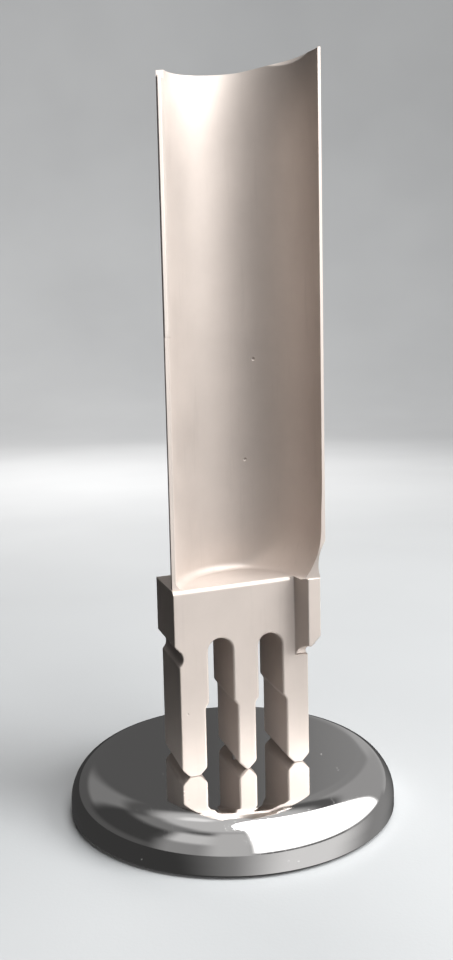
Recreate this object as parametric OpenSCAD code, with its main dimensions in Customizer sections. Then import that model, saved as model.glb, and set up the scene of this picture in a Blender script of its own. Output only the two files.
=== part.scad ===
// Display stand: a steam-turbine rotor blade standing on a round polished base disc.
//
// The blade is one forging: a deep trough-shaped airfoil, a platform block and a
// fork root with three fingers.  Its finger tips stand on the disc and three socket
// head screws come up through the disc into the fingers.  A rubber pad closes the
// underside, and a brazed strip protects the upper leading edge.
//
// Millimetres, +Z up.  The origin is the centre of the underside, on the surface
// that the stand is put down on.  The fingers stand in a row along X, and the hollow
// side of the airfoil faces -Y.

/* [Base disc] */
// Diameter of the polished disc
base_d = 130; // [112:1:170]
// Height of the disc's top face above the table
base_h = 20; // [17:0.5:28]
// Radius of the rounded shoulder between the side wall and the top face
shoulder_r = 14.7; // [8:0.1:15]
// Gap that the pad leaves between the disc's rim and the table
rim_gap = 0.5; // [0.2:0.1:1]

/* [Fork root] */
// Width of the row of three fingers, across the outer faces
row_w = 51.8; // [50:0.2:60]
// Depth of the fingers, front to back
root_depth = 28.6; // [24:0.2:32]
// Distance between the centres of the two slots
slot_pitch = 20; // [19:0.1:20.5]
// Width of the upper, narrow part of a slot
slot_w = 9.7; // [8:0.1:10.5]
// How much a slot widens on each side in its lower part
slot_step = 1.4; // [0.8:0.1:1.8]
// Height of the top of a slot above the disc
slot_top = 53.4; // [48:0.2:58]
// Height above the disc where the lower, wide part of a slot ends
step_h = 26.4; // [18:0.2:32]
// Size of the 45 degree chamfers on the finger tips
tip_chamfer = 3; // [1.5:0.1:3.2]

/* [Platform] */
// Height of the platform's top above the disc, at the left finger's outer face
platform_h = 72.9; // [70:0.1:80]
// Rise of the platform's top from left to right, in millimetres per millimetre
platform_rise = 0.045; // [0:0.005:0.08]
// How far the block overhangs the left finger
overhang_left = 1.6; // [1:0.1:2.4]
// How far the block overhangs the right finger
overhang_right = 2.5; // [2:0.1:3.2]
// How far the right end of the block stands forward of the fingers
nose_depth = 7.5; // [5:0.1:8]

/* [Airfoil] */
// Radius of the hollow face
hollow_r = 28.1; // [27.6:0.1:28.4]
// Radius of the rounded back
back_r = 29.53; // [29.2:0.01:29.8]
// Height of the tip above the disc, over the left finger's outer face
tip_h = 262.2; // [180:0.2:320]
// Rise of the tip from left to right, in millimetres per millimetre
tip_rise = 0.115; // [0:0.005:0.2]
// Radius of the fillet between the hollow face and the platform
foot_r = 3; // [2:0.1:3.5]

/* [Leading edge strip] */
// Length of the brazed strip
strip_len = 92; // [60:1:110]
// Depth of the strip, measured back from the leading edge
strip_depth = 7.2; // [6.5:0.1:9]
// How far the strip's top ends below the blade's tip
strip_drop = 3; // [1:0.1:5]

/* [Fastening] */
// Thread diameter of the screws
screw_d = 4; // [3:0.5:4]
// Length of a screw below its head
screw_len = 25; // [21:1:28]
// Thickness of the pad under the disc
pad_t = 2; // [1.5:0.1:2.5]
// Diameter of the pad
pad_d = 118; // [90:1:120]

/* [Output] */
// Which piece to draw

/* [Hidden] */
$fn = 96;
eps = 0.01;
far = 200;

// The left front corner of the row of fingers, from the disc's axis
row_x = -25.2;
row_y = -18.4;

// Root: shoulder under the block and the round relief below it
shoulder_z = 49.9;
relief_depth = 1.5;
relief_r = 4.135;
relief_z = 46.69;
step_rise = 2.1;

// Platform: the slanted wall that leads to the forward end of the block
slant_start = 5.4;
slant_run = 2.9;
block_top = platform_h + 6;
block_low = 44;
nose_low = 43.8;
groove_r = 9;
groove_y = -8.02;
groove_z = 39.7;
edge_r = 1.7;

// Airfoil: centres of the two round faces, measured from the row's corner
hollow_c = [27.6, -3.2];
back_c = [28.3, 1.37];
leading_y = 3;
trailing_y = -nose_depth;
foil_low = platform_h - 0.4;
foot_overrun = 0.2;

// Flare that thickens the hollow face's right side towards the platform: it is a
// ring about an axis that stands to the left of the hollow's own axis
flare_h = 22;
flare_in = 8;
flare_shift = 14;
flare_turn = 10;
// Waist on the outside of the trailing edge
waist_r = 15.5;
waist_x = 53.6;
waist_z = 80.2;

// Bevel ground on the tip's inner edge: a cone whose axis is off the hollow's axis
bevel_turn = 35;
bevel_shift = 9;
bevel_w = 1;
bevel_depth = 1.6;
// Second plane of the tip, which stands above the first on the right behind this point
hip_x = 34.9;
hip_y = 23.9;
hip_rise_x = 0.115;
hip_rise_y = 0.075;

// Fastening: screw heads and washers in the counterbores
head_h = screw_d;
head_d = 1.75 * screw_d;
flat_washer_t = 0.8;
spring_washer_t = 1;
washer_d = 2.25 * screw_d;
counterbore_d = washer_d + 0.6;
counterbore_top = 9.5;
hole_clearance = 0.25;
hex_af = 0.75 * screw_d;
hex_depth = 2.2;
seat_z = counterbore_top - flat_washer_t - spring_washer_t;
tapped_depth = seat_z + screw_len - base_h + 3;
drill_point = 1.2;
pad_clearance = 0.4;
rim_chamfer = 0.9;

// Slots and fingers, from the row's corner
slot_shift = 0.4;
slot_x = [for (side = [-1, 1]) row_w / 2 + side * slot_pitch / 2 + slot_shift];
slot_low_w = slot_w + 2 * slot_step;
finger_x = [(slot_x[0] - slot_low_w / 2) / 2, (slot_x[0] + slot_x[1]) / 2,
            (slot_x[1] + slot_low_w / 2 + row_w) / 2];

steel = [0.74, 0.70, 0.67];
chrome = [0.82, 0.82, 0.83];
zinc = [0.62, 0.63, 0.65];
rubber = [0.10, 0.10, 0.11];

// ---------------------------------------------------------------- helpers

// Moves a child from the row's own corner on the disc's top to its place
module on_disc() {
    translate([row_x, row_y, base_h]) children();
}

// Extrudes a profile that is drawn in X and Z from y0 back to y1
module along_y(y0, y1) {
    translate([0, y1, 0]) rotate([90, 0, 0]) linear_extrude(height = y1 - y0) children();
}

// Half-space above a plane that climbs along X
module above(z, rise) {
    translate([0, 0, z]) rotate([0, -atan(rise), 0]) translate([-far, -far, 0]) cube(2 * far);
}

// Half-space above a plane that passes through a point and climbs along X and Y
module above_point(point, rise_x, rise_y) {
    turn = -atan(rise_x);
    translate(point) rotate([atan(rise_y * cos(turn)), turn, 0]) translate([-far, -far, 0]) cube(2 * far);
}

// Space above the blade's tip: two ground planes that meet in a faint hip
module above_tip() {
    intersection() {
        above(tip_h, tip_rise);
        above_point([hip_x, hip_y, tip_h + tip_rise * hip_x], tip_rise + hip_rise_x, hip_rise_y);
    }
}

// Places a child under each finger, on the disc's own axis frame
module at_fingers() {
    for (x = finger_x) {
        translate([row_x + x, row_y + root_depth / 2, 0]) children();
    }
}

// ---------------------------------------------------------------- blade

// Profile of one slot, seen from the front
module slot_profile() {
    half = slot_w / 2;
    low = half + slot_step;
    round_z = slot_top - half;
    translate([0, round_z]) circle(r = half);
    polygon([[-half, round_z], [-half, step_h + step_rise], [-low, step_h], [-low, tip_chamfer],
             [-low - tip_chamfer - eps, -eps], [low + tip_chamfer + eps, -eps], [low, tip_chamfer],
             [low, step_h], [half, step_h + step_rise], [half, round_z]]);
}

// Profile of the whole root and block, seen from the front
module root_profile() {
    difference() {
        polygon([[tip_chamfer, 0], [row_w - tip_chamfer, 0], [row_w, tip_chamfer],
                 [row_w, shoulder_z], [row_w + overhang_right, shoulder_z + overhang_right],
                 [row_w + overhang_right, block_top], [-overhang_left, block_top],
                 [-overhang_left, shoulder_z + overhang_left], [0, shoulder_z], [0, tip_chamfer]]);
        for (x = slot_x) {
            translate([x, 0]) slot_profile();
        }
        translate([relief_depth - relief_r, relief_z]) circle(r = relief_r);
        translate([row_w - relief_depth + relief_r, relief_z]) circle(r = relief_r);
    }
}

// Outline of the platform from above, with its right end reaching to right_x
module platform_outline(right_x) {
    x1 = row_w - slant_start;
    x2 = x1 + slant_run;
    polygon([[-overhang_left, 0], [x1, 0], [x2, -nose_depth], [right_x, -nose_depth],
             [right_x, root_depth - nose_depth], [x2, root_depth - nose_depth],
             [x1, root_depth], [-overhang_left, root_depth]]);
}

// Fork root with its three fingers, and the platform block above them
module root_block() {
    difference() {
        intersection() {
            along_y(-nose_depth - 1, root_depth + 1) root_profile();
            union() {
                translate([0, 0, block_low - 1])
                    linear_extrude(height = far) platform_outline(row_w + overhang_right);
                translate([-far, 0, -eps]) cube([2 * far, root_depth, block_low]);
            }
        }
        nose_groove();
        above(platform_h, platform_rise);
        rounded_front_edge();
    }
}

// Hollow under the forward end of the block, which ends on the fingers' front plane
module nose_groove() {
    intersection() {
        translate([0, groove_y, groove_z]) rotate([0, 90, 0]) cylinder(r = groove_r, h = far);
        translate([0, -far, 0]) cube([far, far, far]);
    }
    translate([0, -far, block_low - 2]) cube([far, far, nose_low - block_low + 2]);
}

// Takes the sharp corner off the platform's front top edge
module rounded_front_edge() {
    length = row_w - slant_start + 8;
    translate([-overhang_left, 0, platform_h]) rotate([0, -atan(platform_rise), 0]) difference() {
        translate([-4, -1, -edge_r]) cube([length - 4, edge_r + 1, edge_r + 1]);
        translate([-5, edge_r, -edge_r]) rotate([0, 90, 0]) cylinder(r = edge_r, h = length);
    }
}

// The trough-shaped airfoil with both edges, before the tip is cut
module foil() {
    difference() {
        translate([back_c[0], back_c[1], foil_low]) cylinder(r = back_r, h = far * 1.2, $fn = 180);
        translate([hollow_c[0], hollow_c[1], foil_low - 1])
            cylinder(r = hollow_r, h = far * 1.3, $fn = 180);
        translate([-far, trailing_y - far, 0]) cube([2 * far, far, 2 * far]);
        translate([-far, leading_y - far, 0]) cube([far + hollow_c[0], far, 2 * far]);
        translate([-far, root_depth, foil_low]) rotate([-25, 0, 0])
            translate([0, 0, -far / 2]) cube([2 * far, far / 2, far / 2 + 12]);
    }
}

// Profile of the fillet where a round wall of radius r stands on the platform.  Its arc
// runs a little into both faces, so that it meets them at a clear angle.
module foot_profile(r) {
    difference() {
        translate([r - foot_r, -0.6]) square([foot_r + 0.5, foot_r + 0.6]);
        translate([r - foot_r, foot_r]) circle(r = foot_r + foot_overrun);
    }
}

// Fillet around the foot of the hollow face
module foot_fillet() {
    intersection() {
        translate([hollow_c[0], hollow_c[1], platform_h + platform_rise * hollow_c[0]])
            rotate([0, -atan(platform_rise), 0]) rotate_extrude($fn = 180)
                foot_profile(hollow_r);
        translate([0, 0, foil_low - 2]) linear_extrude(height = 20) difference() {
            platform_outline(row_w + overhang_right);
            translate([-far, leading_y - far]) square([far + hollow_c[0], far]);
        }
    }
}

// Flare on the right side of the hollow face, which carries the trailing edge's
// thin wall inwards to the block
module edge_flare() {
    profile_r = (flare_h * flare_h + flare_in * flare_in) / (2 * flare_in);
    top_r = hollow_r + flare_shift + flare_h * platform_rise + foot_overrun;
    centre_x = hollow_c[0] - flare_shift * cos(flare_turn);
    centre_y = hollow_c[1] - flare_shift * sin(flare_turn);
    intersection() {
        translate([centre_x, centre_y, platform_h + platform_rise * centre_x])
            rotate([0, -atan(platform_rise), 0]) rotate_extrude($fn = 180) {
                difference() {
                    translate([top_r - flare_in, -1]) square([flare_in + 3, flare_h + 1]);
                    translate([top_r - profile_r, flare_h]) circle(r = profile_r, $fn = 180);
                }
                foot_profile(top_r - flare_in + 0.6);
            }
        translate([back_c[0], back_c[1], foil_low - 1]) cylinder(r = back_r, h = far, $fn = 180);
        translate([0, 0, foil_low - 1]) linear_extrude(height = far)
            platform_outline(row_w + 2 * overhang_right + 2);
        translate([0, trailing_y, 0]) cube([far, far, far]);
    }
}

// Keeps the airfoil's outer side off the space beside the block
module beside_block() {
    translate([row_w + overhang_right, -far / 2, foil_low - 4])
        cube([far, far, waist_z - foil_low]);
}

// Space that the brazed strip takes at the leading edge, open at the tip
module strip_seat() {
    z0 = tip_h - strip_drop - strip_len;
    translate([-far / 2, leading_y - 1, z0]) cube([far / 2 + hollow_c[0] / 2, strip_depth + 1, far]);
}

// Bevel along part of the tip's inner edge
module tip_bevel() {
    top_r = hollow_r - bevel_shift + bevel_w;
    slope = bevel_w / bevel_depth;
    reach = 4;
    edge_x = hollow_c[0] + hollow_r * cos(bevel_turn);
    edge_y = hollow_c[1] + hollow_r * sin(bevel_turn);
    hip = hip_rise_x * (edge_x - hip_x) + hip_rise_y * (edge_y - hip_y);
    translate([hollow_c[0] + bevel_shift * cos(bevel_turn),
               hollow_c[1] + bevel_shift * sin(bevel_turn), tip_h + tip_rise * edge_x + hip - reach])
        cylinder(r1 = top_r - reach * slope, r2 = top_r + reach * slope, h = 2 * reach, $fn = 180);
}

// Waist on the outside of the trailing edge, just above the block
module edge_waist() {
    translate([waist_x + waist_r, far / 2, waist_z]) rotate([90, 0, 0])
        cylinder(r = waist_r, h = far);
}

// Tapped holes in the finger tips
module tapped_holes() {
    for (x = finger_x) {
        translate([x, root_depth / 2, -1]) cylinder(d = screw_d, h = tapped_depth + 1);
        translate([x, root_depth / 2, tapped_depth])
            cylinder(d1 = screw_d, d2 = 0, h = drill_point);
    }
}

module blade() {
    color(steel) on_disc() difference() {
        union() {
            root_block();
            foil();
            foot_fillet();
            edge_flare();
        }
        above_tip();
        strip_seat();
        tip_bevel();
        edge_waist();
        beside_block();
        tapped_holes();
    }
}

module leading_edge_strip() {
    color(steel) on_disc() difference() {
        intersection() {
            foil();
            strip_seat();
        }
        above(tip_h - strip_drop, tip_rise);
    }
}

// ---------------------------------------------------------------- base

module base_disc() {
    r = base_d / 2;
    flat_r = r - shoulder_r;
    wall_z = base_h - shoulder_r;
    color(chrome) difference() {
        rotate_extrude($fn = 240) difference() {
            union() {
                translate([0, rim_gap]) square([flat_r, base_h - rim_gap]);
                translate([0, rim_gap]) square([r, wall_z - rim_gap]);
                intersection() {
                    translate([flat_r, wall_z]) circle(r = shoulder_r);
                    translate([flat_r - eps, wall_z - eps]) square([shoulder_r + 1, shoulder_r + 1]);
                }
            }
            translate([0, -1]) square([pad_d / 2 + pad_clearance, pad_t + 1]);
            polygon([[r - rim_chamfer, rim_gap - eps], [r + 1, rim_gap - eps],
                     [r + 1, rim_gap + rim_chamfer + 1], [r, rim_gap + rim_chamfer]]);
        }
        at_fingers() {
            translate([0, 0, pad_t - 1]) cylinder(d = counterbore_d, h = counterbore_top - pad_t + 1);
            cylinder(d = screw_d + 2 * hole_clearance, h = base_h + 1);
        }
    }
}

module base_pad() {
    color(rubber) cylinder(d = pad_d, h = pad_t, $fn = 240);
}

// ---------------------------------------------------------------- fastening

module blade_screws() {
    color(zinc) at_fingers() difference() {
        union() {
            translate([0, 0, seat_z - head_h]) cylinder(d = head_d, h = head_h);
            translate([0, 0, seat_z - eps]) cylinder(d = screw_d, h = screw_len + eps);
        }
        translate([0, 0, seat_z - head_h - 1])
            cylinder(d = hex_af / cos(30), h = hex_depth + 1, $fn = 6);
    }
}

// One plain ring that lies flat
module ring(outer, inner, z, t) {
    translate([0, 0, z]) difference() {
        cylinder(d = outer, h = t);
        translate([0, 0, -1]) cylinder(d = inner, h = t + 2);
    }
}

module spring_washers() {
    split = 0.9;
    color(zinc) at_fingers() difference() {
        ring(head_d, screw_d + 2 * hole_clearance, seat_z, spring_washer_t);
        translate([0, -split / 2, seat_z - 1]) cube([head_d, split, spring_washer_t + 2]);
    }
}

module flat_washers() {
    color(zinc) at_fingers()
        ring(washer_d, screw_d + 2 * hole_clearance, seat_z + spring_washer_t, flat_washer_t);
}

// ---------------------------------------------------------------- assembly

blade();
leading_edge_strip();
base_disc();
base_pad();
blade_screws();
spring_washers();
flat_washers();
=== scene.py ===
"""Turbine blade display stand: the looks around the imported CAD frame.

Everything is in metres in the CAD frame.  Lengths that describe the blade are written in
millimetres, as in the CAD source, and are scaled by MM where a mesh is made.
"""

import math

import bmesh
import bpy
from mathutils import Matrix, Vector


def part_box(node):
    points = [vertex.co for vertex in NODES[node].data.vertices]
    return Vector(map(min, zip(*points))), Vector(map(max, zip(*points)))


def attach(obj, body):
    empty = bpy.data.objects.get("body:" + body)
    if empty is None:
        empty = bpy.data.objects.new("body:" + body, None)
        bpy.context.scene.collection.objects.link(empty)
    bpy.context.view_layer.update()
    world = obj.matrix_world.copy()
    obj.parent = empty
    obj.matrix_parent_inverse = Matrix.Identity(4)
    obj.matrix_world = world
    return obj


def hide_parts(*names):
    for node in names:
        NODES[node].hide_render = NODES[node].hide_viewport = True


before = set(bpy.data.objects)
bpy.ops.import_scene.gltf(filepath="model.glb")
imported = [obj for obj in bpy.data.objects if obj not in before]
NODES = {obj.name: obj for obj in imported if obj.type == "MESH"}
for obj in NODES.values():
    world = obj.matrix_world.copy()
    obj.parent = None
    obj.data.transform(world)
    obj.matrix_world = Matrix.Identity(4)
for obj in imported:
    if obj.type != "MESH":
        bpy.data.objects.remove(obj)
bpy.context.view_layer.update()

MM = 0.001

# The blade's own corner: left front corner of the row of fingers, on the disc's top face
blade_low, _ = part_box("blade")
OVERHANG_LEFT = 1.6
NOSE_DEPTH = 7.5
CORNER = Vector((blade_low.x + OVERHANG_LEFT * MM, blade_low.y + NOSE_DEPTH * MM, blade_low.z))

# Airfoil, in millimetres from the corner: the same circles and planes as the CAD source
HOLLOW_C = (27.6, -3.2)
HOLLOW_R = 28.1
BACK_C = (28.3, 1.37)
BACK_R = 29.53
LEADING_Y = 3.0
TRAILING_Y = -NOSE_DEPTH
ROW_W = 51.8
ROOT_DEPTH = 28.6
PLATFORM_H = 72.9
PLATFORM_RISE = 0.045
TIP_H = 262.2
TIP_RISE = 0.115
TIP_HIP_AT = (34.9, 23.9)
TIP_HIP_X = 0.115
TIP_HIP_Y = 0.075
FOOT_R = 3.0
FLARE_H = 22.0
FLARE_IN = 7.4
FLARE_SHIFT = 14.0
FLARE_TURN = math.radians(10)
BLOCK_RIGHT = 54.3
WAIST_X = 53.6
WAIST_R = 15.5
WAIST_Z = 80.2
BACK_LEAN = math.tan(math.radians(25))
STRIP_BACK_Y = 10.2
STRIP_DROP = 3.0
STRIP_LEN = 92.0
BEVEL_TURN = math.radians(35)
BEVEL_SHIFT = 9.0
BEVEL_W = 1.0
BEVEL_DEPTH = 1.6

# Small rounds on the root's edges: the widest one, and each kind of edge's share of it
EDGE_ROUND = 1.1
TIP_SHARE = 1.0
SLOT_SHARE = 0.7
OTHER_SHARE = 0.4
PLATFORM_SHARE = 0.3
SHORTEST_PLATFORM_EDGE = 4.0
ROUNDED_TURN = 32

# Where those edges are, in millimetres from the corner
FINGER_TIP_TOP = 4.0
FINGER_EDGE_DEPTH = 20.0
SLOT_X = (8.0, 44.0)
SLOT_Z = (3.0, 56.0)
PLATFORM_EDGE_DROP = 4.0

# Points closer than WELD are one point; faces that turn by less than FLAT_TURN degrees are one
WELD = 0.002
FLAT_TURN = 0.6


def platform_z(x):
    return PLATFORM_H + PLATFORM_RISE * x


def tip_z(x, y):
    """Height of the tip: two ground planes that meet in a faint hip."""
    hip = TIP_HIP_X * (x - TIP_HIP_AT[0]) + TIP_HIP_Y * (y - TIP_HIP_AT[1])
    return TIP_H + TIP_RISE * x + soft_min(hip, 9.0, 0.1) if hip > 0 else TIP_H + TIP_RISE * x


def soft_min(a, b, blend):
    """The smaller of two lengths, rounded over where they are nearly equal."""
    d = (a - b) / blend
    if d > 30:
        return b
    if d < -30:
        return a
    return b - blend * math.log(1 + math.exp(-d)) if d > 0 else a - blend * math.log(1 + math.exp(d))


def to_frame(x, y, z):
    return CORNER + Vector((x, y, z)) * MM


# ------------------------------------------------------------------ node materials


class Nodes:
    """A short way to write a node tree."""

    def __init__(self, name, world=False):
        if world:
            self.owner = bpy.data.worlds.new(name)
        else:
            self.owner = bpy.data.materials.new(name)
        self.owner.use_nodes = True
        self.tree = self.owner.node_tree
        self.tree.nodes.clear()

    def add(self, kind, inputs=None, **settings):
        node = self.tree.nodes.new(kind)
        for key, value in settings.items():
            setattr(node, key, value)
        for key, value in (inputs or {}).items():
            self.put(node.inputs[key], value)
        return node

    def put(self, socket, value):
        if isinstance(value, bpy.types.NodeSocket):
            self.tree.links.new(value, socket)
        else:
            socket.default_value = value

    def math(self, operation, a, b=0.0, clamp=False):
        node = self.add("ShaderNodeMath", {0: a, 1: b}, operation=operation, use_clamp=clamp)
        return node.outputs[0]

    def remap(self, value, low, high, to_low, to_high):
        node = self.add("ShaderNodeMapRange", {0: value, 1: low, 2: high, 3: to_low, 4: to_high})
        return node.outputs[0]

    def mix(self, factor, a, b, blend="MIX"):
        node = self.add("ShaderNodeMix", data_type="RGBA", blend_type=blend)
        self.put(node.inputs[0], factor)
        self.put(node.inputs[6], a)
        self.put(node.inputs[7], b)
        return node.outputs[2]

    def noise(self, vector, scale, detail=3.0, roughness=0.5):
        node = self.add("ShaderNodeTexNoise", {"Vector": vector, "Scale": scale, "Detail": detail,
                                               "Roughness": roughness})
        return node.outputs[0]

    def stretched(self, scale, turn=(0, 0, 0)):
        """Object coordinates, squeezed along some axes so that a noise turns into streaks."""
        coords = self.add("ShaderNodeTexCoord").outputs["Object"]
        return self.add("ShaderNodeMapping", {"Vector": coords, "Scale": scale,
                                              "Rotation": turn}).outputs[0]

    def bump(self, height, strength, distance, normal=None):
        node = self.add("ShaderNodeBump", {"Height": height, "Strength": strength,
                                           "Distance": distance})
        if normal is not None:
            self.put(node.inputs["Normal"], normal)
        return node.outputs[0]

    def surface(self, shader):
        out = self.add("ShaderNodeOutputMaterial")
        self.put(out.inputs["Surface"], shader)
        return self.owner


def blasted_steel(name, tint, seed=0.0):
    """Bead-blasted stainless steel: fine grain, cloudy tone, faint marks along the blade, pits."""
    n = Nodes(name)
    plain = n.stretched((1, 1, 1), (seed, 0.3 * seed, 0))
    along = n.stretched((1, 1, 0.06), (0, 0, seed))
    grain = n.noise(plain, 5200, 2, 0.6)
    cloud = n.noise(plain, 28, 4, 0.55)
    fine_cloud = n.noise(plain, 160, 3, 0.6)
    streak = n.noise(along, 420, 3, 0.6)
    spots = n.add("ShaderNodeTexVoronoi", {"Vector": plain, "Scale": 95.0, "Randomness": 1.0})
    spot = n.remap(spots.outputs["Distance"], 0.035, 0.075, 1.0, 0.0)
    rare = n.remap(n.noise(plain, 60, 1, 0.5), 0.60, 0.64, 0.0, 1.0)
    pit = n.math("MULTIPLY", spot, rare)
    tone = n.mix(n.remap(cloud, 0.3, 0.7, 0.0, 1.0), [c * 0.93 for c in tint] + [1],
                 [min(1.0, c * 1.05) for c in tint] + [1])
    tone = n.mix(n.remap(streak, 0.58, 0.74, 0.0, 0.16), tone, [c * 0.72 for c in tint] + [1])
    tone = n.mix(n.math("MULTIPLY", pit, 0.55), tone, [c * 0.45 for c in tint] + [1])
    rough = n.math("ADD", n.remap(fine_cloud, 0.3, 0.7, 0.52, 0.58),
                   n.remap(cloud, 0.3, 0.7, -0.02, 0.02))
    normal = n.bump(grain, 0.22, 0.00006)
    normal = n.bump(streak, 0.05, 0.00008, normal)
    normal = n.bump(n.math("MULTIPLY", pit, -1.0), 0.8, 0.0004, normal)
    shader = n.add("ShaderNodeBsdfPrincipled", {"Base Color": tone, "Metallic": 0.58,
                                                "Roughness": rough, "Normal": normal})
    return n.surface(shader.outputs[0])


def polished_steel(name):
    """Buffed mirror finish: hairline scratches in several directions, faint haze, dust specks."""
    n = Nodes(name)
    plain = n.stretched((1, 1, 1))
    scratches = None
    for turn, scale in ((0.35, 900), (1.15, 1300), (2.05, 1100), (2.75, 1500)):
        lines = n.noise(n.stretched((1, 0.012, 0.5), (0, 0, turn)), scale, 1, 0.4)
        line = n.remap(lines, 0.70, 0.78, 0.0, 1.0)
        scratches = line if scratches is None else n.math("MAXIMUM", scratches, line)
    haze = n.noise(plain, 45, 4, 0.6)
    smear = n.noise(n.stretched((1, 0.25, 1), (0, 0, 0.6)), 70, 3, 0.6)
    rough = n.math("ADD", n.remap(haze, 0.35, 0.75, 0.035, 0.075), n.math("MULTIPLY", scratches, 0.10))
    rough = n.math("ADD", rough, n.remap(smear, 0.5, 0.8, 0.0, 0.05))
    specks = n.add("ShaderNodeTexVoronoi", {"Vector": plain, "Scale": 260.0, "Randomness": 1.0})
    speck = n.remap(specks.outputs["Distance"], 0.06, 0.12, 1.0, 0.0)
    patch = n.remap(n.noise(plain, 55, 2, 0.5), 0.60, 0.66, 0.0, 1.0)
    dust = n.math("MULTIPLY", speck, patch)
    normal = n.bump(scratches, 0.06, 0.00002)
    normal = n.bump(haze, 0.03, 0.0004, normal)
    metal = n.add("ShaderNodeBsdfPrincipled", {"Base Color": (0.80, 0.785, 0.775, 1), "Metallic": 1.0,
                                               "Roughness": rough, "Normal": normal})
    powder = n.add("ShaderNodeBsdfPrincipled", {"Base Color": (0.75, 0.74, 0.72, 1),
                                                "Roughness": 0.8})
    both = n.add("ShaderNodeMixShader", {0: n.math("MULTIPLY", dust, 0.7), 1: metal.outputs[0],
                                         2: powder.outputs[0]})
    return n.surface(both.outputs[0])


def pad_rubber(name):
    n = Nodes(name)
    plain = n.stretched((1, 1, 1))
    grain = n.noise(plain, 1800, 3, 0.6)
    cloud = n.noise(plain, 40, 3, 0.5)
    tone = n.mix(n.remap(cloud, 0.3, 0.7, 0.0, 1.0), (0.018, 0.018, 0.019, 1), (0.03, 0.03, 0.031, 1))
    shader = n.add("ShaderNodeBsdfPrincipled", {
        "Base Color": tone, "Roughness": n.remap(grain, 0.3, 0.7, 0.72, 0.88),
        "Normal": n.bump(grain, 0.3, 0.0001)})
    return n.surface(shader.outputs[0])


def zinc_plate(name):
    n = Nodes(name)
    plain = n.stretched((1, 1, 1))
    spangle = n.add("ShaderNodeTexVoronoi", {"Vector": plain, "Scale": 900.0}).outputs["Distance"]
    turned = n.noise(n.stretched((1, 1, 8)), 900, 2, 0.5)
    tone = n.mix(n.remap(spangle, 0.1, 0.6, 0.0, 1.0), (0.50, 0.51, 0.53, 1), (0.60, 0.61, 0.63, 1))
    shader = n.add("ShaderNodeBsdfPrincipled", {
        "Base Color": tone, "Metallic": 1.0, "Roughness": n.remap(turned, 0.3, 0.7, 0.28, 0.42),
        "Normal": n.bump(turned, 0.15, 0.00005)})
    return n.surface(shader.outputs[0])


STEEL_TINT = (0.54, 0.476, 0.436)
STRIP_TINT = (0.56, 0.50, 0.46)
steel = blasted_steel("blade_steel", STEEL_TINT)
strip_steel = blasted_steel("strip_alloy", STRIP_TINT, 1.7)
mirror = polished_steel("polished_steel")
rubber = pad_rubber("pad_rubber")
zinc = zinc_plate("zinc_steel")


# ------------------------------------------------------------------ mesh helpers


def make_piece(name, bm, material, node):
    """Turns a bmesh into a piece of the object that stands for a CAD node."""
    bmesh.ops.recalc_face_normals(bm, faces=bm.faces[:])
    mesh = bpy.data.meshes.new(name)
    bm.to_mesh(mesh)
    bm.free()
    obj = bpy.data.objects.new(name, mesh)
    bpy.context.scene.collection.objects.link(obj)
    obj.data.materials.append(material)
    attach(obj, "root")
    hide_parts(node)
    return obj


def smooth_faces(obj, angle):
    """Smooth shading with sharp edges where the surface turns by more than angle degrees."""
    mesh = obj.data
    mesh.shade_smooth()
    mesh.set_sharp_from_angle(angle=math.radians(angle))


def edge_break(obj, width, angle=30.0, segments=3):
    """Small rounds along every edge that turns by more than angle degrees."""
    mod = obj.modifiers.new("edge_break", "BEVEL")
    mod.width = width * MM
    mod.segments = segments
    mod.limit_method = "ANGLE"
    mod.angle_limit = math.radians(angle)
    mod.use_clamp_overlap = True
    mod.harden_normals = False
    mod.miter_outer = "MITER_ARC"
    return mod


def weighted(obj):
    mod = obj.modifiers.new("weighted_normals", "WEIGHTED_NORMAL")
    mod.keep_sharp = True
    mod.weight = 90


def spread(low, high, count):
    """count + 1 evenly spaced values from low to high."""
    return [low + (high - low) * i / count for i in range(count + 1)]


# ------------------------------------------------------------------ airfoil


def flare_thickness(h):
    """Depth of the flare's bell profile at height h above the platform, without its offset."""
    profile_r = (FLARE_H ** 2 + FLARE_IN ** 2) / (2 * FLARE_IN)
    if h >= FLARE_H:
        return -((h - FLARE_H) ** 2) / (2 * profile_r)
    return profile_r - math.sqrt(profile_r ** 2 - (FLARE_H - h) ** 2)


def ring_gap(theta):
    """How far the flare's ring stands outside the hollow's wall, in the direction theta."""
    ring_r = HOLLOW_R + FLARE_SHIFT
    turn = theta - FLARE_TURN
    reach = -FLARE_SHIFT * math.cos(turn) + math.sqrt(ring_r ** 2 - (FLARE_SHIFT * math.sin(turn)) ** 2)
    return reach - HOLLOW_R


def wall_r(theta, h):
    """Radius of the hollow face in the direction theta, at height h above the platform."""
    flare = HOLLOW_R + ring_gap(theta) - flare_thickness(h)
    return soft_min(HOLLOW_R, flare, 0.9)


def hollow_column(theta, rows_foot, heights):
    """Points up the hollow face in one direction: round the foot fillet, then up the wall.

    Each point is (radius from the hollow's axis, height above the platform)."""
    step = 0.5
    slope = (wall_r(theta, FOOT_R + step) - wall_r(theta, FOOT_R * 0.3)) / (FOOT_R * 0.7 + step)
    root = math.sqrt(1 + slope * slope)
    centre = wall_r(theta, FOOT_R) - FOOT_R * root
    start = -math.pi / 2 - 0.12
    end = -math.atan(slope)
    points = []
    for angle in spread(start, end, rows_foot):
        points.append((centre + FOOT_R * math.cos(angle), FOOT_R + FOOT_R * math.sin(angle)))
    top_of_foot = points[-1][1]
    for share in heights:
        h = top_of_foot + (FLARE_H + 14 - top_of_foot) * share
        points.append((wall_r(theta, h), h))
    return points


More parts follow.
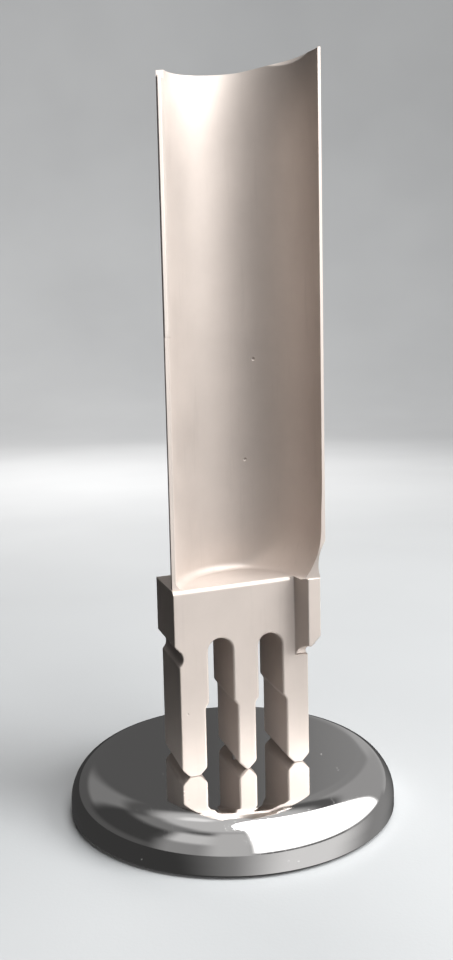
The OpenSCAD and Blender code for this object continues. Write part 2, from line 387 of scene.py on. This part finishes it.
def outer_limit(z):
    """Largest x of the airfoil's outside at height z: beside the block, then round the waist."""
    limit = 90.0
    if abs(z - WAIST_Z) < WAIST_R:
        limit = WAIST_X + WAIST_R - math.sqrt(WAIST_R ** 2 - (z - WAIST_Z) ** 2)
    if z < WAIST_Z - 3.4:
        limit = min(limit, BLOCK_RIGHT - 0.02)
    return limit


BEVEL_TOP = tip_z(HOLLOW_C[0] + HOLLOW_R * math.cos(BEVEL_TURN),
                  HOLLOW_C[1] + HOLLOW_R * math.sin(BEVEL_TURN))


def bevel_r(theta, z):
    """Radius of the tip's cone bevel in the direction theta, at height z."""
    cone = HOLLOW_R - BEVEL_SHIFT + BEVEL_W - (BEVEL_TOP - z) * BEVEL_W / BEVEL_DEPTH
    turn = theta - BEVEL_TURN
    inside = cone ** 2 - (BEVEL_SHIFT * math.sin(turn)) ** 2
    if cone <= 0 or inside <= 0:
        return 0.0
    return BEVEL_SHIFT * math.cos(turn) + math.sqrt(inside)


def build_airfoil_sheets():
    """Matching grids of points on the hollow face and on the rounded back."""
    theta_te = math.asin((TRAILING_Y - HOLLOW_C[1]) / HOLLOW_R)
    theta_seat = math.pi - math.asin((STRIP_BACK_Y - HOLLOW_C[1]) / HOLLOW_R)
    theta_le = math.pi - math.asin((LEADING_Y - HOLLOW_C[1]) / HOLLOW_R)
    back_te = math.asin((TRAILING_Y - BACK_C[1]) / BACK_R)
    back_seat = math.pi - math.asin((STRIP_BACK_Y - BACK_C[1]) / BACK_R)
    back_le = math.pi - math.asin((LEADING_Y - BACK_C[1]) / BACK_R)
    wide, narrow = 104, 10
    thetas = spread(theta_te, theta_seat, wide) + spread(theta_seat, theta_le, narrow)[1:]
    backs = spread(back_te, back_seat, wide) + spread(back_seat, back_le, narrow)[1:]

    rows_foot = 8
    heights = [s ** 1.15 for s in spread(0, 1, 34)][1:]
    below_seat = spread(0, 1, 26)[1:]
    beside_strip = spread(0, 1, 34)[1:]
    above_strip = spread(0, 1, 10)[1:]
    seat_z = TIP_H - STRIP_DROP - STRIP_LEN
    seat_row = rows_foot + len(heights) + len(below_seat)
    drop_row = seat_row + len(beside_strip)

    inner, outer = [], []
    for theta, back in zip(thetas, backs):
        wall_x = HOLLOW_C[0] + HOLLOW_R * math.cos(theta)
        column = []
        zs = []
        for r, h in hollow_column(theta, rows_foot, heights):
            x = HOLLOW_C[0] + r * math.cos(theta)
            column.append((x, HOLLOW_C[1] + r * math.sin(theta), platform_z(x) + h))
        flare_top = column[-1][2]
        tip = tip_z(wall_x, HOLLOW_C[1] + HOLLOW_R * math.sin(theta))
        strip_top = tip - STRIP_DROP
        zs += [flare_top + (seat_z - flare_top) * s for s in below_seat]
        zs += [seat_z + (strip_top - seat_z) * s for s in beside_strip]
        zs += [strip_top + (tip - strip_top) * s for s in above_strip]
        for z in zs:
            r = max(HOLLOW_R, bevel_r(theta, z))
            column.append((HOLLOW_C[0] + r * math.cos(theta), HOLLOW_C[1] + r * math.sin(theta), z))
        inner.append(column)
        back_x = BACK_C[0] + BACK_R * math.cos(back)
        back_y = BACK_C[1] + BACK_R * math.sin(back)
        column = []
        for row, (ix, iy, z) in enumerate(inner[-1]):
            if row < rows_foot + len(heights):
                low, high = platform_z(back_x) - 0.1, flare_top
                start = inner[-1][0][2]
                z = low + (high - low) * (z - start) / (flare_top - start)
            elif row > seat_row:
                top = tip_z(back_x, back_y)
                z = seat_z + (top - seat_z) * (z - seat_z) / (tip - seat_z)
            x = soft_min(back_x, outer_limit(z), 0.12)
            back_limit = ROOT_DEPTH - 0.1 + (z - platform_z(x)) * BACK_LEAN
            y = soft_min(back_y, back_limit, 0.25)
            column.append((x, y, z))
        outer.append(column)
    return inner, outer, wide, seat_row, drop_row


def sheet_solid(inner, outer, present):
    """A closed solid between two matching grids, made of the cells that are present."""
    bm = bmesh.new()
    made = {}

    def vert(side, grid, i, j):
        key = (side, i, j)
        if key not in made:
            made[key] = bm.verts.new(to_frame(*grid[i][j]))
        return made[key]

    columns, rows = len(inner) - 1, len(inner[0]) - 1

    def has(i, j):
        return 0 <= i < columns and 0 <= j < rows and present(i, j)

    for i in range(columns):
        for j in range(rows):
            if not has(i, j):
                continue
            corners = ((i, j), (i + 1, j), (i + 1, j + 1), (i, j + 1))
            bm.faces.new([vert(0, inner, *c) for c in corners])
            bm.faces.new([vert(1, outer, *c) for c in reversed(corners)])
            sides = (((i, j), (i + 1, j), (i, j - 1)), ((i + 1, j), (i + 1, j + 1), (i + 1, j)),
                     ((i + 1, j + 1), (i, j + 1), (i, j + 1)), ((i, j + 1), (i, j), (i - 1, j)))
            for a, b, neighbour in sides:
                if not has(*neighbour):
                    bm.faces.new((vert(1, outer, *a), vert(1, outer, *b), vert(0, inner, *b),
                                  vert(0, inner, *a)))
    return bm


def build_airfoil():
    inner, outer, seat_column, seat_row, drop_row = build_airfoil_sheets()

    def in_strip(i, j):
        return i >= seat_column and j >= seat_row

    airfoil = make_piece("blade_airfoil", sheet_solid(inner, outer, lambda i, j: not in_strip(i, j)),
                         steel, "blade")
    strip = make_piece("leading_edge_strip_ground",
                       sheet_solid(inner, outer, lambda i, j: in_strip(i, j) and j < drop_row),
                       strip_steel, "leading_edge_strip")
    for obj, width in ((airfoil, 0.22), (strip, 0.18)):
        smooth_faces(obj, 35)
        edge_break(obj, width, 50, 2)
        weighted(obj)


# ------------------------------------------------------------------ fork root


def edge_share(edge):
    """Share of the widest round that an edge of the root gets, by where the edge is."""
    a, b = edge.verts[0].co, edge.verts[1].co
    height = (max(a.z, b.z) - CORNER.z) / MM
    left = (min(a.x, b.x) - CORNER.x) / MM
    right = (max(a.x, b.x) - CORNER.x) / MM
    front = CORNER.y + 0.02 * MM
    on_front = a.y < front and b.y < front
    runs_back = abs(a.y - b.y) > FINGER_EDGE_DEPTH * MM
    if height < FINGER_TIP_TOP and left > -0.5 and right < ROW_W + 0.5 and runs_back:
        return TIP_SHARE
    if on_front and SLOT_X[0] < left and right < SLOT_X[1] and SLOT_Z[0] < height < SLOT_Z[1]:
        return SLOT_SHARE
    if height > PLATFORM_H - PLATFORM_EDGE_DROP:
        return PLATFORM_SHARE if edge.calc_length() > SHORTEST_PLATFORM_EDGE * MM else 0.0
    return OTHER_SHARE


def mark_edge_rounds(bm):
    """Bevel weights: wide rounds on the slots' front edges and the finger tips, else narrow."""
    layers = bm.edges.layers.float
    weight = layers.get("bevel_weight_edge") or layers.new("bevel_weight_edge")
    for edge in bm.edges:
        if len(edge.link_faces) == 2 and edge.calc_face_angle(0.0) >= math.radians(ROUNDED_TURN):
            edge[weight] = edge_share(edge)


def split_at(bm, place, normal, clear=False):
    """Cuts the mesh by a plane, keeps or clears the side the normal points to."""
    return bmesh.ops.bisect_plane(bm, geom=bm.verts[:] + bm.edges[:] + bm.faces[:],
                                  dist=0.0005 * MM, plane_co=place, plane_no=normal,
                                  clear_outer=clear)


def build_root():
    """Fork root and platform block: the CAD blade below the platform's top face."""
    bm = bmesh.new()
    bm.from_mesh(NODES["blade"].data)
    bmesh.ops.remove_doubles(bm, verts=bm.verts[:], dist=WELD * MM)
    normal = Vector((-PLATFORM_RISE, 0, 1)).normalized()
    just_below_top = to_frame(0, 0, PLATFORM_H) - normal * 0.004 * MM
    cut = split_at(bm, just_below_top, normal, clear=True)
    rim = [e for e in cut["geom_cut"] if isinstance(e, bmesh.types.BMEdge)]
    bmesh.ops.holes_fill(bm, edges=rim, sides=0)
    bmesh.ops.dissolve_limit(bm, angle_limit=math.radians(FLAT_TURN), verts=bm.verts[:],
                             edges=bm.edges[:])
    # Splits near the platform's ends stop a dark wedge on its rounded front edge
    for x in (-OVERHANG_LEFT + 0.5, ROW_W - 7.0):
        split_at(bm, to_frame(x, 0, 0), (1, 0, 0))
    mark_edge_rounds(bm)
    root = make_piece("blade_root", bm, steel, "blade")
    smooth_faces(root, 28)
    rounds = edge_break(root, EDGE_ROUND, ROUNDED_TURN, 3)
    rounds.limit_method = "WEIGHT"
    rounds.use_clamp_overlap = False
    weighted(root)


# ------------------------------------------------------------------ base disc


def lathe(profile, segments):
    """A closed solid of revolution about the Z axis from (radius, height) points in metres."""
    bm = bmesh.new()
    rings = []
    for r, z in profile:
        if r < 1e-9:
            rings.append([bm.verts.new((0, 0, z))])
        else:
            rings.append([bm.verts.new((r * math.cos(2 * math.pi * k / segments),
                                        r * math.sin(2 * math.pi * k / segments), z))
                          for k in range(segments)])
    for low, high in zip(rings, rings[1:]):
        for k in range(segments):
            n = (k + 1) % segments
            quad = [low[k % len(low)], low[n % len(low)], high[n % len(high)], high[k % len(high)]]
            corners = list(dict.fromkeys(quad))
            bm.faces.new(corners)
    return bm


def arc(centre_r, centre_z, radius, start, end, count):
    """Points on an arc in the (radius, height) plane, angles in degrees."""
    turns = [math.radians(a) for a in spread(start, end, count)]
    return [(centre_r + radius * math.cos(a), centre_z + radius * math.sin(a)) for a in turns]


def build_base():
    low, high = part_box("base_disc")
    _, pad_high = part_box("base_pad")
    r = high.x
    top = high.z
    shoulder = 14.7 * MM
    recess_r = pad_high.x + 0.4 * MM
    chamfer = 0.9 * MM
    soft = 0.25 * MM
    profile = [(0, pad_high.z + 0.02 * MM), (recess_r - soft, pad_high.z + 0.02 * MM)]
    profile += arc(recess_r - soft, pad_high.z + 0.02 * MM - soft, soft, 90, 0, 3)[1:]
    profile += [(recess_r, low.z + soft)]
    profile += arc(recess_r + soft, low.z + soft, soft, 180, 270, 3)[1:]
    profile += [(r - chamfer - soft, low.z)]
    profile += arc(r - chamfer - soft, low.z + soft, soft, -90, -45, 3)[1:]
    profile += arc(r - soft, low.z + chamfer + soft, soft, -45, 0, 3)
    profile += [(r, top - shoulder - 1.6 * MM)]
    profile += arc(r - shoulder, top - shoulder, shoulder, 0, 90, 40)
    flat = r - shoulder
    profile += [(flat * s, top) for s in (0.985, 0.93, 0.8, 0.55, 0.25)]
    profile += [(0, top)]
    disc = make_piece("base_disc_polished", lathe(profile, 360), mirror, "base_disc")
    smooth_faces(disc, 60)


def build_pad():
    low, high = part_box("base_pad")
    r = high.x
    soft = 0.35 * MM
    profile = [(0, low.z), (r - soft, low.z)]
    profile += arc(r - soft, low.z + soft, soft, -90, 0, 5)[1:]
    profile += arc(r - soft, high.z - soft, soft, 0, 90, 5)
    profile += [(0, high.z)]
    pad = make_piece("base_pad_rubber", lathe(profile, 180), rubber, "base_pad")
    smooth_faces(pad, 50)


def finish_cad_node(name, material, width):
    """A hidden CAD node keeps its CAD shape and gets a material and small edge rounds."""
    obj = NODES[name]
    obj.data.materials.clear()
    obj.data.materials.append(material)
    weld = obj.modifiers.new("weld", "WELD")
    weld.merge_threshold = WELD * MM
    edge_break(obj, width, 40, 2)


build_airfoil()
build_root()
build_base()
build_pad()
finish_cad_node("blade_screws", zinc, 0.12)
finish_cad_node("spring_washers", zinc, 0.06)
finish_cad_node("flat_washers", zinc, 0.06)


# ------------------------------------------------------------------ camera

CAMERA_PLACE = Vector((-0.1136, -0.3869, 0.1848))
CAMERA_YAW = 0.3047
CAMERA_PITCH = 0.132
CAMERA_ROLL = -0.0201
CAMERA_AIM_LEFT = 0.01812
CAMERA_LENS = 38.91

camera_data = bpy.data.cameras.new("camera")
camera_data.sensor_fit = "AUTO"
camera_data.sensor_width = 36.0
camera_data.lens = CAMERA_LENS
camera_data.clip_start = 0.01
camera = bpy.data.objects.new("camera", camera_data)
bpy.context.scene.collection.objects.link(camera)
turn = (Matrix.Rotation(-CAMERA_YAW, 4, "Z") @ Matrix.Rotation(math.pi / 2 - CAMERA_PITCH, 4, "X")
        @ Matrix.Rotation(CAMERA_ROLL, 4, "Z") @ Matrix.Rotation(CAMERA_AIM_LEFT, 4, "Y"))
camera.matrix_world = Matrix.Translation(CAMERA_PLACE) @ turn
bpy.context.scene.camera = camera


# ------------------------------------------------------------------ stage and light


def heading(azimuth, elevation):
    """Direction from the object: azimuth 0 is towards the camera, 90 to its right."""
    a = math.radians(azimuth) - CAMERA_YAW
    e = math.radians(elevation)
    return Vector((math.sin(a) * math.cos(e), -math.cos(a) * math.cos(e), math.sin(e)))


def build_stage():
    """A round pale bowl: flat floor, wide cove and wall.

    The object neither mirrors it nor takes light or shadow from it: the sky stands in for that."""
    floor_r, cove_r, wall_h = 1.6, 0.9, 2.6
    profile = [(0, 0), (0.2, 0), (0.6, 0), (floor_r, 0)]
    profile += arc(floor_r, cove_r, cove_r, -90, 0, 16)[1:]
    profile += [(floor_r + cove_r, wall_h)]
    bm = lathe(profile, 96)
    mesh = bpy.data.meshes.new("studio_floor")
    bm.to_mesh(mesh)
    bm.free()
    mesh.shade_smooth()
    floor = bpy.data.objects.new("studio_floor", mesh)
    bpy.context.scene.collection.objects.link(floor)
    n = Nodes("studio_paper")
    plain = n.stretched((1, 1, 1))
    tone = n.mix(n.remap(n.noise(plain, 3.0, 3, 0.5), 0.3, 0.7, 0.0, 1.0), (0.32, 0.324, 0.33, 1),
                 (0.35, 0.354, 0.36, 1))
    grain = n.noise(plain, 700, 3, 0.6)
    shader = n.add("ShaderNodeBsdfPrincipled", {"Base Color": tone, "Roughness": 0.9,
                                                "Normal": n.bump(grain, 0.15, 0.0003)})
    floor.data.materials.append(n.surface(shader.outputs[0]))
    floor.visible_glossy = False
    floor.visible_shadow = False
    floor.visible_diffuse = False


# What the metal reflects: plain neutral cards and softboxes round a dim studio.  Each patch has
# a name, the way its azimuth is counted ("facing": 0 is towards the camera, "beyond": 0 is away
# from it, both positive to the right), its azimuth range, its elevation range, the softness of
# both and its grey level.
ROOM_TONE = 0.098
TABLE_TONE = 0.043
ALL_ROUND = (-200, 200)
SKY_PATCHES = (
    ("back_right", "beyond", (2, 100), (-10, 46), 5, 4, 0.265),
    ("back_low_right", "beyond", (9, 50), (-10, 18), 4, 3, 0.41),
    ("back_left", "beyond", (-68, -30), (16, 46), 8, 4, 0.22),
    ("ceiling", "facing", ALL_ROUND, (60, 100), 10, 6, 0.56),
    ("ceiling_left", "facing", (-102, -42), (45, 62), 10, 5, 0.205),
    ("overhead_lamp", "facing", (-142, -104), (70, 81), 10, 3, 0.94),
    ("flag_left", "facing", (-114, -54), (9, 46), 8, 5, 0.052),
    ("front_left", "facing", (-50, 16), (-10, 26), 8, 5, 0.29),
    ("front_high", "facing", (-47, 16), (26, 50), 7, 5, 0.62),
    ("front", "facing", (-16, 16), (-10, 60), 8, 6, 0.52),
    ("softbox_right", "facing", (15, 118), (4, 84), 3, 3, 3.0),
    ("right_back", "facing", (118, 160), (4, 46), 4, 4, 0.35),
)
TABLE_PATCHES = (
    ("table_right", "facing", (-12, 150), (-100, 10), 28, 1, 0.27),
    ("table_bright", "facing", (20, 90), (-100, 10), 22, 1, 0.78),
)


# Matt surfaces take this share of the room's light; the softboxes below do the rest
MATT_SHARE = 0.16


def build_sky():
    """The world: the patches above, laid over a dim room and a dark table."""
    n = Nodes("studio_sky", world=True)
    coords = n.add("ShaderNodeTexCoord").outputs["Generated"]
    turned = n.add("ShaderNodeVectorRotate", {"Vector": coords, "Angle": CAMERA_YAW},
                   rotation_type="Z_AXIS").outputs[0]
    split = n.add("ShaderNodeSeparateXYZ", {0: turned})
    right, away, up = split.outputs[0], split.outputs[1], split.outputs[2]
    degree = 180 / math.pi
    facing = n.math("MULTIPLY", n.math("ARCTAN2", right, n.math("MULTIPLY", away, -1.0)), degree)
    beyond = n.math("MULTIPLY", n.math("ARCTAN2", right, away), degree)
    height = n.math("MULTIPLY", n.math("ARCSINE", up), degree)
    azimuths = {"facing": facing, "beyond": beyond}

    def rise(value, at, soft):
        return n.add("ShaderNodeMapRange", {0: value, 1: at - soft, 2: at + soft, 3: 0.0, 4: 1.0},
                     interpolation_type="SMOOTHSTEP").outputs[0]

    def between(value, low, high, soft):
        return n.math("SUBTRACT", rise(value, low, soft), rise(value, high, soft), clamp=True)

    def lay(name, amount, under, grey):
        colour = n.mix(amount, under, (grey, grey, grey, 1))
        colour.node.name = name
        return colour

    def paint(name, tone, patches):
        colour = lay(name, 1.0, (0, 0, 0, 1), tone)
        for name, kind, az_range, el_range, az_soft, el_soft, grey in patches:
            amount = n.math("MULTIPLY", between(azimuths[kind], *az_range, az_soft),
                            between(height, *el_range, el_soft))
            colour = lay(name, amount, colour, grey)
        return colour

    table = paint("table", TABLE_TONE, TABLE_PATCHES)
    room = paint("room", ROOM_TONE, SKY_PATCHES)
    colour = n.mix(rise(height, -1.5, 0.4), table, room)
    matt = n.add("ShaderNodeLightPath").outputs["Is Diffuse Ray"]
    background = n.add("ShaderNodeBackground", {"Color": colour,
                                                "Strength": n.remap(matt, 0.0, 1.0, 1.0, MATT_SHARE)})
    out = n.add("ShaderNodeOutputWorld")
    n.put(out.inputs["Surface"], background.outputs[0])
    bpy.context.scene.world = n.owner


LAMP_DISTANCE = 1.2
LAMP_RADIUS = 0.36
LAMP_AIM_HEIGHT = 0.13


def softbox(name, azimuth, elevation, power, colour, mirrored):
    """A large soft lamp.  The two keys are mirrored, inside softbox_right."""
    data = bpy.data.lights.new(name, "POINT")
    data.shadow_soft_size = LAMP_RADIUS
    data.energy = power
    data.color = colour
    lamp = bpy.data.objects.new(name, data)
    bpy.context.scene.collection.objects.link(lamp)
    lamp.visible_glossy = mirrored
    lamp.location = Vector((0, 0, LAMP_AIM_HEIGHT)) + heading(azimuth, elevation) * LAMP_DISTANCE


build_stage()
build_sky()
softbox("key_side", 72, 30, 76, (0.98, 1.0, 1.0), True)
softbox("key_high", 50, 68, 66, (0.98, 1.0, 1.0), True)
softbox("back_fill", 192, 25, 42, (1.0, 0.98, 0.96), False)

bpy.context.scene.view_settings.view_transform = "Standard"
